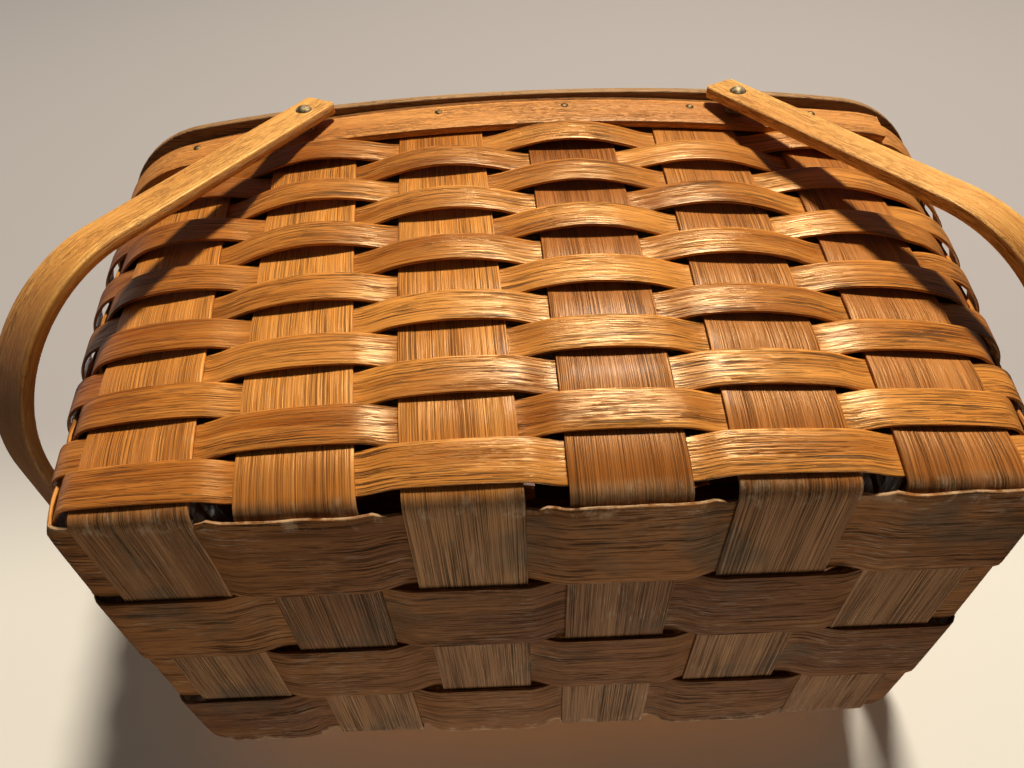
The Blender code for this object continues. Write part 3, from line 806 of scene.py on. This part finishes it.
def weaver_path(row):
    middle = FOLD_TOP + (row + 0.5) * ROW_PITCH
    knots, outs, tilts = [], [], []
    first = 1 if row % 2 == 0 else 0
    for index in range(first, first + len(UPSTANDS) + 1):
        half = UPSTANDS[index % len(UPSTANDS)][2]
        lap = index % len(UPSTANDS)
        outside = (lap + row) % 2 == 0
        level = (CROSSING - STAKE_GIVE) * (1 if outside else -1)
        growth = FIRST_RISE + RISE_GROWTH * min(row, GROWING_ROWS)
        rise = WEAVER_ARCH * growth * (1 + shaky(RISE_SHAKE, lap, row, 2.0))
        crest = level + rise if outside else level - WEAVER_DIP
        lean = shaky(CREST_SHAKE, lap, row, 7.0) * half if outside else 0.0
        tilt = shaky(TILT_SHAKE, lap, row, 5.0) if outside else 0.0
        verge = level + (crest - level) * VERGE
        shoulder = level + (crest - level) * SHOULDER
        inset = half * SHOULDER_PLACE
        for offset, out, turn in (
                (-half - EDGE_MARGIN, verge, 0.0), (lean / 2 - inset, shoulder, tilt / 2),
                (lean, crest, tilt), (lean / 2 + inset, shoulder, tilt / 2),
                (half + EDGE_MARGIN, verge, 0.0)):
            knots.append((index, offset))
            outs.append(out)
            tilts.append(turn)
    for points in (knots, outs, tilts):
        del points[:2], points[-2:]
    spots = [upstand_arc(index, offset, middle) for index, offset in knots]
    out_at = curve_through(spots, outs)
    tilt_at = curve_through(spots, tilts)
    total = spots[-1] - spots[0]

    def place(u, v):
        at = spots[0] + u % total
        v = v * (1 + shaky(WEAVER_WIDTH_SHAKE, u * 12, row, 1.0))
        z = middle + v + shaky(FACE_SHAKE, u * 7, row, 3.0)
        i = min(bisect_right(spots, at) - 1, len(spots) - 2)
        share = (at - spots[i]) / (spots[i + 1] - spots[i])
        start = upstand_arc(*knots[i], z)
        end = upstand_arc(*knots[i + 1], z)
        return wall_point(z, start + (end - start) * share, out_at(at) + tilt_at(at) * v)

    return total, place


for row in range(ROW_COUNT):
    total, place = weaver_path(row)
    bm = splint_blank(
        total, WEAVER_WIDTH, SPLINT_THICK, WEAVER_STEP, STRIP_COLUMNS, SPLINT_ROUND,
        WEAVER_SEED + row, open_ends=True)
    bend(bm, place)
    bmesh.ops.remove_doubles(bm, verts=bm.verts[:], dist=WELD)
    piece = finish_piece(f"oak_weaver_{row + 1:02d}", bm, WEAVER_OAK, f"weaver_{row + 1:02d}")
print("weavers:", ROW_COUNT)

# %% [markdown]
# ## Rim hoops
#
# The rim is a pair of thicker strips, one outside the stakes and one inside, which stands higher.
# The inner strip's oak is painted dark, as painted shade under the lid's edge. The outer strip's
# end laps over its start at the front right corner. Its thickness is written as an inner and an
# outer face, because the lap changes both.


# %% The lap
LAST = CROSS_COUNT - 1
LAP_TIP = 0.0004
LAP_GAP = 0.0002
LAP_LIFT = 0.0006
LAP_EASE = 0.006


def lap_start(z):
    return upstand_arc(LAST, -UPSTANDS[LAST][2], z)


def lap_finish(z):
    edge = upstand_arc(LAST, UPSTANDS[LAST][2], z)
    return edge + (upstand_arc(LAST + 1, -UPSTANDS[LAST + 1][2], z) - edge) * LAP_END


LAP_RUN = lap_finish(RIM_TOP) - lap_start(RIM_TOP)
LOOP = 4 * plan((RIM_LOW + RIM_TOP) / 2)["quarter"]


def lower_end(u):
    """Outer face at the strip's start, which is thinned to go under the lap."""
    if u < LAP_RUN:
        return HOOP_INSIDE + LAP_TIP + (LAP_STEP - LAP_LIFT) * u / LAP_RUN
    rise = min((u - LAP_RUN) / LAP_EASE, 1.0)
    return HOOP_INSIDE + LAP_STEP - LAP_GAP + (HOOP_THICK - LAP_STEP + LAP_GAP) * rise


def outer_outside(u):
    if u < LOOP:
        return lower_end(u) if u < 2 * LAP_RUN else HOOP_OUTSIDE
    return HOOP_OUTSIDE + LAP_STEP * (u - LOOP) / LAP_RUN


def outer_inside(u):
    if u < LOOP:
        return HOOP_INSIDE
    return HOOP_INSIDE + LAP_LIFT + (LAP_STEP - LAP_LIFT) * (u - LOOP) / LAP_RUN


print("lap:", round(LAP_RUN * 1000), "mm")


# %% Hoops
HOOP_ROUND = 0.0011
HOOP_STEP = 0.0035
OUTER_SEED = 40
INNER_SEED = 41


def hoop_path(z_low, z_high, inside, outside, start):
    middle = (z_low + z_high) / 2
    total = 4 * plan(middle)["quarter"]

    def place(u, v, through):
        z = middle + v
        arc = (start(middle) + u) / total * 4 * plan(z)["quarter"]
        near, far = inside(u), outside(u)
        out = near + (far - near) * (through / HOOP_THICK + 0.5)
        return wall_point(z, arc, out + shaky(FACE_SHAKE, u * 6, v * 40, 1.0))

    return total, place


def add_hoop(name, node, z_low, z_high, inside, outside, start, seed, closed, material):
    total, place = hoop_path(z_low, z_high, inside, outside, start)
    length = total if closed else total + LAP_RUN
    bm = splint_blank(
        length, z_high - z_low, HOOP_THICK, HOOP_STEP, STRIP_COLUMNS, HOOP_ROUND, seed,
        open_ends=closed)
    for vert in bm.verts:
        vert.co = place(vert.co.x, vert.co.y, vert.co.z)
    if closed:
        bmesh.ops.remove_doubles(bm, verts=bm.verts[:], dist=WELD)
    piece = finish_piece(name, bm, material, node)


def no_lap(z):
    return upstand_arc(LAST + 4, 0.0, z)


add_hoop(
    "oak_rim_outer_hoop", "rim_outer_hoop", RIM_LOW, RIM_TOP, outer_inside, outer_outside,
    lap_start, OUTER_SEED, False, RIM_OAK)
# The inner hoop wears the oak that is painted dark as shade under the lid.
add_hoop(
    "oak_rim_inner_hoop", "rim_inner_hoop", RIM_LOW, RIM_TOP + INNER_PROUD,
    lambda u: -HOOP_OUTSIDE, lambda u: -HOOP_INSIDE, no_lap, INNER_SEED, True, PAINTED_SHADE_INNER_RIM_OAK)
print("rim hoops: 2, the inner one", INNER_PROUD, "m higher")

# %% [markdown]
# ## Handles
#
# Each handle is one flat strip of oak, steamed and bent into a bail. It is straight along both
# arms and round at two corners, so its path is a line, a quarter turn, a line, a quarter turn and
# a line. The ends' corners are clipped before the long edges are rounded. It is modelled with its
# pivot at the origin and then turned down until it rests near the basket's end, as in the CAD.

# %% Handle path
HANDLE_THICK = 0.0064
HANDLE_REACH = 0.2350
HANDLE_BEND = 0.0860
HANDLE_TAIL = 0.0175
HANDLE_CLIP = 0.0022
HANDLE_REST = 0.0048
PIVOT_X = 0.1335
PIVOT_DROP = 0.0105
PIVOT_Z = RIM_TOP - PIVOT_DROP
WASHER_THICK = 0.0050
WASHER_SEAT = 0.0013
TURN_GAP = 0.0003

rim_face = -wall_point(PIVOT_Z, PIVOT_X, HOOP_OUTSIDE).y
arm_middle = rim_face + WASHER_SEAT + WASHER_THICK + TURN_GAP + HANDLE_THICK / 2
arm_run = HANDLE_TAIL + HANDLE_REACH - HANDLE_BEND
turn_run = HANDLE_BEND * math.pi / 2
cross_run = 2 * (arm_middle - HANDLE_BEND)
bail_length = 2 * (arm_run + turn_run) + cross_run


def bail_point(u, v):
    """The handle's middle surface in its own frame: X along the arms, Y across the basket."""
    if u > bail_length / 2:
        point = bail_point(bail_length - u, v)
        return Vector((point.x, -point.y, point.z))
    if u < arm_run:
        return Vector((u - HANDLE_TAIL, -arm_middle, v))
    if u < arm_run + turn_run:
        angle = (u - arm_run) / HANDLE_BEND
        centre = Vector((HANDLE_REACH - HANDLE_BEND, HANDLE_BEND - arm_middle, v))
        return centre + HANDLE_BEND * Vector((math.sin(angle), -math.cos(angle), 0))
    return Vector((HANDLE_REACH, HANDLE_BEND - arm_middle + (u - arm_run - turn_run), v))


print("a handle's strip is", round(bail_length, 3), "m long")


# %% How the handles hang
HANG_FINE = 1e-7
WEAVE_BULGE = 0.0035


def hang_turn():
    """How far the handle turns down before its crosspiece comes near the end wall."""
    low, high = 0.0, math.pi / 2
    while high - low > HANG_FINE:
        turn = (low + high) / 2
        rooms = []
        for across in (-HANDLE_WIDTH / 2, HANDLE_WIDTH / 2):
            inner = HANDLE_REACH - HANDLE_THICK / 2
            x = PIVOT_X + inner * math.cos(turn) + across * math.sin(turn)
            z = PIVOT_Z - inner * math.sin(turn) + across * math.cos(turn)
            rooms.append(x - wall_point(z, plan(z)["quarter"], CROSSING + WEAVE_BULGE).x)
        low, high = (turn, high) if min(rooms) > HANDLE_REST else (low, turn)
    return low


hang = hang_turn()
print("handles hang", round(math.degrees(hang), 2), "degrees below level")


# %% Handles
HANDLE_ROUND = 0.0010
HANDLE_CUTS = 200
HANDLE_SEED = 50


def handle_blank(seed):
    bm = block((bail_length, HANDLE_WIDTH, HANDLE_THICK), (bail_length / 2, 0, 0))
    corners = [e for e in bm.edges if reach(e, 2) > HANDLE_THICK / 2]
    round_off(bm, corners, HANDLE_CLIP, segments=1)
    rims = [e for e in bm.edges if reach(e, 2) < HANDLE_THICK / 2]
    round_off(bm, rims, HANDLE_ROUND, segments=3)
    cut_columns(bm, HANDLE_WIDTH, STRIP_COLUMNS)
    cut_rows(bm, bail_length, HANDLE_CUTS)
    map_grain(bm, seed)
    return bm


HANDS = (("left", -1, math.pi - hang), ("right", 1, hang))
for hand, side, turn in HANDS:
    bm = handle_blank(HANDLE_SEED + side)
    bend(bm, bail_point)
    hung = Matrix.Translation((side * PIVOT_X, 0, PIVOT_Z)) @ Matrix.Rotation(turn, 4, "Y")
    bmesh.ops.transform(bm, matrix=hung, verts=bm.verts[:])
    piece = finish_piece(f"oak_handle_{hand}", bm, HANDLE_OAK, f"handle_{hand}", f"handle_{hand}")
print("handles:", len(HANDS))

# %% [markdown]
# ## Metal
#
# The rivets are dull steel with low domed heads, hammered and a little scratched. The nails of
# the rim are small brass ones that have gone brown. Both are turned from a profile with a full
# spin. Their metal is a plain grey or yellow that noise makes uneven.

# %% Metals
DENT_DEPTH = 0.0003


def metal(name, bright, dull, rough):
    recipe = Recipe(name, Metallic=1.0)
    place = recipe.add("ShaderNodeTexCoord", {}, {}, "Object")
    patina = recipe.spread(place, (420, 420, 420), detail=3.0)
    scratch = recipe.spread(place, (300, 2600, 2600), detail=2.0)
    colour = recipe.blend(patina.over(0.38, 0.66), dull, bright)
    normal = recipe.bump(patina + scratch * 0.5, 0.35, DENT_DEPTH)
    return recipe.paint(Base_Color=colour, Roughness=rough + patina * 0.3, Normal=normal)


RIVET_STEEL = metal("rivet_steel", (0.38, 0.30, 0.18), (0.14, 0.098, 0.050), 0.45)
NAIL_BRASS = metal("nail_brass", (0.30, 0.20, 0.085), (0.085, 0.050, 0.020), 0.45)
print("metals:", RIVET_STEEL.name, NAIL_BRASS.name)


# %% Turning a profile
POLE_WELD = 1e-6


def turned(profile, steps, matrix):
    """Spin a profile of (radius, height) pairs into a closed body."""
    bm = bmesh.new()
    verts = [bm.verts.new((radius, 0.0, height)) for radius, height in profile]
    edges = [bm.edges.new(pair) for pair in zip(verts, verts[1:])]
    bmesh.ops.spin(
        bm, geom=verts + edges, cent=(0, 0, 0), axis=(0, 0, 1), angle=math.tau, steps=steps,
        use_merge=True, use_duplicate=False)
    bmesh.ops.remove_doubles(bm, verts=bm.verts[:], dist=POLE_WELD)
    bmesh.ops.transform(bm, matrix=matrix, verts=bm.verts[:])
    return bm


def dome(radius, height, steps=6):
    """A low dome's profile, from its top to its edge."""
    shares = [math.sin(math.pi / 2 * i / steps) for i in range(steps + 1)]
    return [(radius * share, height * (1 - share ** 3)) for share in shares]


print("points in a dome's profile:", len(dome(1.0, 1.0)))

# %% Rivets and washers
RIVET_SHANK = 0.0025
RIVET_HEAD = 0.0049
RIVET_DOME = 0.0022
RIVET_BURR = 0.0042
RIVET_TAIL = 0.0012
RIVET_SEAT = 0.0010
WASHER_RADIUS = 0.0060
HEAD_GAP = 0.0003
HOLE_GAP = 0.0003
RIVET_STEPS = 32

head_seat = arm_middle + HANDLE_THICK / 2 + HEAD_GAP
burr_seat = -wall_point(PIVOT_Z, PIVOT_X, -HOOP_OUTSIDE).y - RIVET_SEAT
burr_end = burr_seat - RIVET_TAIL
washer_low = rim_face + WASHER_SEAT
washer_high = washer_low + WASHER_THICK
rivet_profile = [(r, head_seat + h) for r, h in dome(RIVET_HEAD, RIVET_DOME)]
rivet_profile += [
    (RIVET_HEAD * 0.97, head_seat), (RIVET_SHANK, head_seat), (RIVET_SHANK, burr_seat),
    (RIVET_BURR, burr_seat), (RIVET_BURR, burr_seat - RIVET_TAIL * 0.6),
    (RIVET_BURR * 0.8, burr_end), (0.0, burr_end)]
hole = RIVET_SHANK + HOLE_GAP
washer_profile = [
    (hole, washer_low), (WASHER_RADIUS, washer_low),
    (WASHER_RADIUS, washer_low + WASHER_THICK * 0.8), (WASHER_RADIUS * 0.93, washer_high),
    (hole, washer_high), (hole, washer_low)]
for hand, side, _ in HANDS:
    for face, facing in (("front", -1), ("back", 1)):
        tilt = Matrix.Rotation(math.radians(-90 * facing), 4, "X")
        spot = Matrix.Translation((side * PIVOT_X, 0, PIVOT_Z)) @ tilt
        for kind, profile in (("rivet", rivet_profile), ("washer", washer_profile)):
            node = f"{kind}_{face}_{hand}"
            bm = turned(profile, RIVET_STEPS, spot)
            piece = finish_piece(f"steel_{node}", bm, RIVET_STEEL, node)
print("rivet heads:", round(RIVET_HEAD * 2000, 1), "mm across")

# %% Rim nails
NAIL_SHANK = 0.0009
NAIL_HEAD = 0.0024
NAIL_DOME = 0.0008
NAIL_DROP = 0.0070
NAIL_LIP = 0.0002
NAIL_STEPS = 20
NAIL_RISE = 0.001
LONG_SIDE_Y = 0.1


def lap_extra(index):
    if index != LAST:
        return 0.0
    return LAP_STEP * (upstand_arc(LAST, 0.0, RIM_TOP) - lap_start(RIM_TOP)) / LAP_RUN


nail_profile = dome(NAIL_HEAD, NAIL_DOME, 4) + [
    (NAIL_HEAD * 0.95, -NAIL_LIP), (NAIL_SHANK, -NAIL_LIP), (NAIL_SHANK, -HOOP_THICK),
    (0.0, -HOOP_THICK)]
nails = 0
for index in range(len(UPSTANDS)):
    z = RIM_TOP - NAIL_DROP
    extra = lap_extra(index)
    face = wall_point(z, upstand_arc(index, 0.0, z), HOOP_OUTSIDE + extra)
    from_pivot = math.hypot(abs(face.x) - PIVOT_X, z - PIVOT_Z)
    if abs(face.y) > LONG_SIDE_Y and from_pivot < WASHER_RADIUS + NAIL_HEAD:
        continue
    core = wall_point(z, upstand_arc(index, 0.0, z), HOOP_INSIDE)
    higher = z + NAIL_RISE
    above = wall_point(higher, upstand_arc(index, 0.0, higher), HOOP_OUTSIDE + extra)
    up = (above - face).normalized()
    out = (face - core).normalized()
    normal = (out - up * out.dot(up)).normalized()
    facing = normal.to_track_quat("Z", "Y").to_matrix().to_4x4()
    bm = turned(nail_profile, NAIL_STEPS, Matrix.Translation(face + normal * NAIL_LIP) @ facing)
    nails += 1
    piece = finish_piece(f"brass_rim_nail_{nails:02d}", bm, NAIL_BRASS, f"rim_nail_{nails:02d}")
print("nails:", nails)

# %% [markdown]
# ## Lid
#
# The lid is a thin board that rests on the inner hoop. It is a little squarer than the rim, so it
# stands out at the corners. A filled circle of vertices is moved onto the outline, extruded to the
# board's thickness and rounded along its edges. Two battens cross it.

# %% Lid board
LID_THICK = 0.0062
LID_GAP = 0.0003
LID_OVERHANG = 0.0034
LID_SQUARE = 0.0100
LID_LOW = RIM_TOP + INNER_PROUD + LID_GAP
LID_POINTS = 240
LID_ROUND = 0.0012
LID_SEED = 60

bm = bmesh.new()
bmesh.ops.create_circle(bm, cap_ends=True, radius=1.0, segments=LID_POINTS)
rim = plan(RIM_TOP)
loop_length = 4 * rim["quarter"]
for vert in bm.verts:
    arc = math.atan2(vert.co.y, vert.co.x) / math.tau * loop_length
    inner = wall_point(RIM_TOP, arc)
    corner = (inner.x / rim["half_length"]) ** 2 * (inner.y / rim["half_width"]) ** 2
    point = wall_point(RIM_TOP, arc, LID_OVERHANG + LID_SQUARE * corner)
    vert.co = (point.x, point.y, LID_LOW)
raised = bmesh.ops.extrude_face_region(bm, geom=bm.faces[:], use_keep_orig=True)
top = [v for v in raised["geom"] if isinstance(v, bmesh.types.BMVert)]
bmesh.ops.translate(bm, vec=(0, 0, LID_THICK), verts=top)
round_off(bm, [e for e in bm.edges if reach(e, 2) < LID_THICK / 2], LID_ROUND, segments=3)
map_grain(bm, LID_SEED)
piece = finish_piece("oak_lid_board", bm, LID_OAK, "lid_board", "lid")
print("lid board from", round(LID_LOW, 4), "to", round(LID_LOW + LID_THICK, 4))

# %% Battens
BATTEN_ROUND = 0.0015
TOP_EDGE = 0.001
BATTEN_SEED = 62

for hand, side, _ in HANDS:
    low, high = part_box(f"lid_batten_{hand}")
    bm = block(high - low, (low + high) / 2)
    upper = [e for e in bm.edges if max(v.co.z for v in e.verts) > high.z - TOP_EDGE]
    round_off(bm, upper, BATTEN_ROUND, segments=3)
    map_grain(bm, BATTEN_SEED + side, crosswise=True)
    piece = finish_piece(f"oak_lid_batten_{hand}", bm, HANDLE_OAK, f"lid_batten_{hand}", "lid")
    print(f"lid_batten_{hand}:", [round(part, 4) for part in high - low])

# %% [markdown]
# ## Stage and light
#
# In the photograph the basket lies on its back, so the table is behind it here, and the camera is
# in front and below. The table is a pale plane close behind the back wall. Upright, the basket
# stands on a pale floor. Both planes are seen from their front only, so neither hides the basket
# from behind or below. The main lamp is in front, a little above and to the right, where the
# shadows of the handles point from. It lights the wall and leaves the bottom in the shade.

# %% Stage
TABLE_GAP = 0.0012
FLOOR_DROP = 0.0012
PLANE_SIZE = 4.0
SHADED_FROM = (0.12, 0.36)


def stage_plane(name, matrix, colours, glow):
    """A plane whose colour and glow change with height; each is given low and high."""
    bm = bmesh.new()
    bmesh.ops.create_grid(bm, x_segments=1, y_segments=1, size=PLANE_SIZE, matrix=matrix)
    mesh = bpy.data.meshes.new(name)
    bm.to_mesh(mesh)
    bm.free()
    plane = bpy.data.objects.new(name, mesh)
    bpy.context.scene.collection.objects.link(plane)
    paint = Recipe(name, Roughness=0.9)
    paint.shader.inputs["Emission Strength"].default_value = 1.0
    spot = paint.add("ShaderNodeTexCoord", {}, {}, "Object")
    high = paint.part(spot, "Z").over(*SHADED_FROM)
    paint.paint(Base_Color=paint.blend(high, *colours), Emission_Color=paint.blend(high, *glow))
    seen = paint.add("ShaderNodeLightPath", {}, {}, "Is Camera Ray")
    behind = paint.add("ShaderNodeNewGeometry", {}, {}, "Backfacing")
    clear = paint.add("ShaderNodeBsdfTransparent", {}, {})
    surface = paint.add(
        "ShaderNodeMixShader", {},
        {0: seen * (1 - behind), 1: clear, 2: Value(paint, paint.shader.outputs[0])})
    output = next(n for n in paint.tree.nodes if n.type == "OUTPUT_MATERIAL")
    paint.tree.links.new(surface.socket, output.inputs["Surface"])
    mesh.materials.append(paint.material)


upright = Matrix.Rotation(math.pi / 2, 4, "X")
behind_basket = Matrix.Translation((0, cad_high.y + TABLE_GAP, 0)) @ upright
stage_plane(
    "table", behind_basket, ((0.68, 0.64, 0.56), (0.20, 0.18, 0.165)),
    glow=((0.02, 0.015, 0.01), (0.235, 0.205, 0.180)))
stage_plane(
    "floor", Matrix.Translation((0, 0, -FLOOR_DROP)), ((0.72, 0.70, 0.66), (0.72, 0.70, 0.66)),
    glow=((0, 0, 0), (0, 0, 0)))
print("the table stands", TABLE_GAP, "m behind the basket")


# %% Lights
LAMP_AIM = Vector((0, 0, 0.13))


def lamp(name, direction, distance, size, level, colour):
    """A round soft lamp; the level is how bright it makes a white surface that faces it."""
    light = bpy.data.lights.new(name, "AREA")
    light.shape = "DISK"
    light.size = size
    light.energy = level * math.pi ** 2 * distance ** 2
    light.color = colour
    obj = bpy.data.objects.new(name, light)
    way = Vector(direction).normalized()
    obj.location = LAMP_AIM + way * distance
    obj.rotation_euler = (-way).to_track_quat("-Z", "Y").to_euler()
    bpy.context.scene.collection.objects.link(obj)


lamp("key", (0.18, -0.90, 0.38), 3.0, 0.42, 1.50, (1.0, 0.93, 0.82))
lamp("bounce", (0.1, 0.60, -0.80), 1.8, 1.6, 0.49, (1.0, 0.94, 0.86))
lamp("left", (-0.93, -0.15, 0.30), 2.0, 1.4, 0.06, (1.0, 0.97, 0.93))
lamp("back", (-0.25, 0.80, 0.50), 2.4, 1.6, 0.70, (1.0, 0.97, 0.93))

world = bpy.data.worlds.new("studio")
bpy.context.scene.world = world
world.use_nodes = True
background = world.node_tree.nodes["Background"]
background.inputs["Color"].default_value = (1.0, 0.97, 0.94, 1.0)
background.inputs["Strength"].default_value = 0.07
print("lamps:", [light.name for light in bpy.data.lights])

# %% [markdown]
# ## Camera
#
# The camera's place and lens were solved from the edges of the splints in the photograph. The
# focal length is given in pixels of that picture, and the sensor's width turns it into a lens. The
# view's three directions make the columns of the camera's matrix.

# %% Camera
PHOTO_WIDTH = 1024
FOCAL_PIXELS = 710.4
SENSOR = 36.0

eye = Vector((-0.0125, -0.3538, -0.1708))
ahead = Vector((-0.001, 0.696, 0.718)).normalized()
right = Vector((0.999, 0.032, -0.029))
right = (right - ahead * right.dot(ahead)).normalized()
up = right.cross(ahead)
camera_data = bpy.data.cameras.new("camera")
camera_data.sensor_width = SENSOR
camera_data.lens = SENSOR * FOCAL_PIXELS / PHOTO_WIDTH
camera_data.clip_start = 0.01
camera = bpy.data.objects.new("camera", camera_data)
bpy.context.scene.collection.objects.link(camera)
turned_to = Matrix((right, up, -ahead)).transposed().to_4x4()
camera.matrix_world = Matrix.Translation(eye) @ turned_to
bpy.context.scene.camera = camera
bpy.context.scene.view_settings.view_transform = "Standard"
print("lens:", round(camera_data.lens, 2), "mm")
